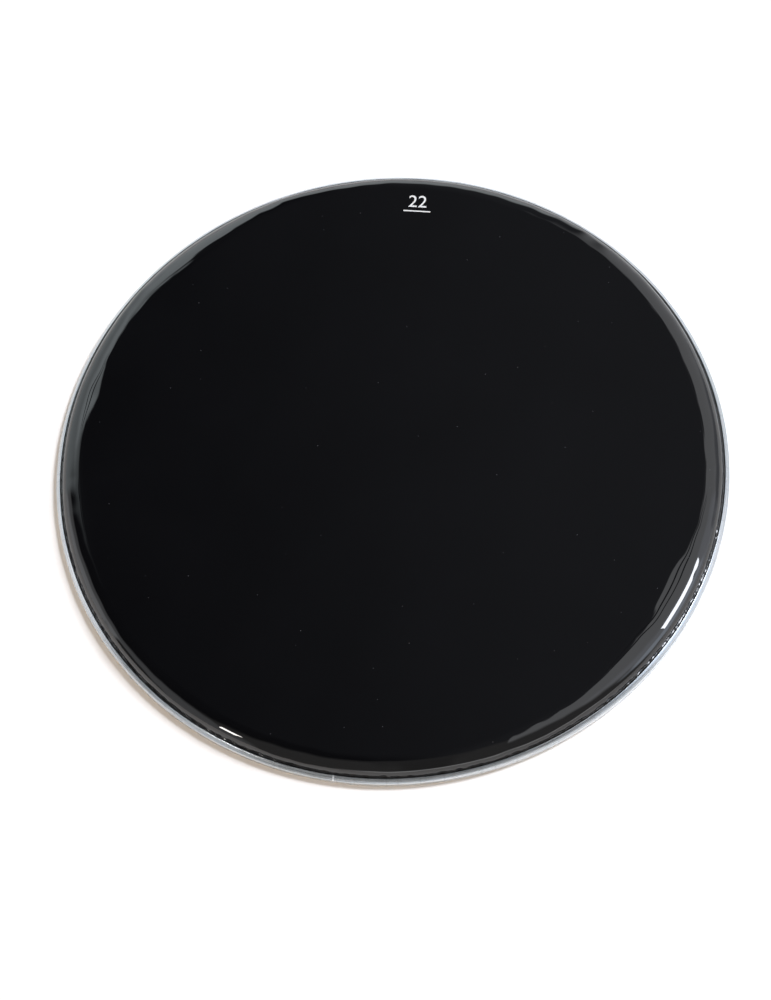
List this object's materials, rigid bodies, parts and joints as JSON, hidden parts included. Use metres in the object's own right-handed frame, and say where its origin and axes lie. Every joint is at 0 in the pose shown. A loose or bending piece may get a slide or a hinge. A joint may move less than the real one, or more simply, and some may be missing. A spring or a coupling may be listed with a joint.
{
  "type": "drum head",
  "caption": "Round drum head: a black gloss film with a formed collar, its foot set in resin in an aluminium channel hoop that slips over a drum shell.",
  "frame": {"origin": "on the drum's axis, level with the underside of the hoop", "axes": "+Z along the drum's axis towards the playing side, -Y towards the viewer of the picture"},
  "size_m": [0.577, 0.577, 0.0204],
  "materials": {
    "film": "mirror-gloss black polyester film",
    "hoop": "rolled, finely brushed along the strip",
    "weld": "ground flush",
    "resin": "cured casting resin",
    "print": "screen-printed white ink"
  },
  "bodies": {
    "root": {"head_film": "film", "hoop_channel": "hoop", "seam_weld": "weld", "resin_lock": "resin"}
  },
  "joints": []
}
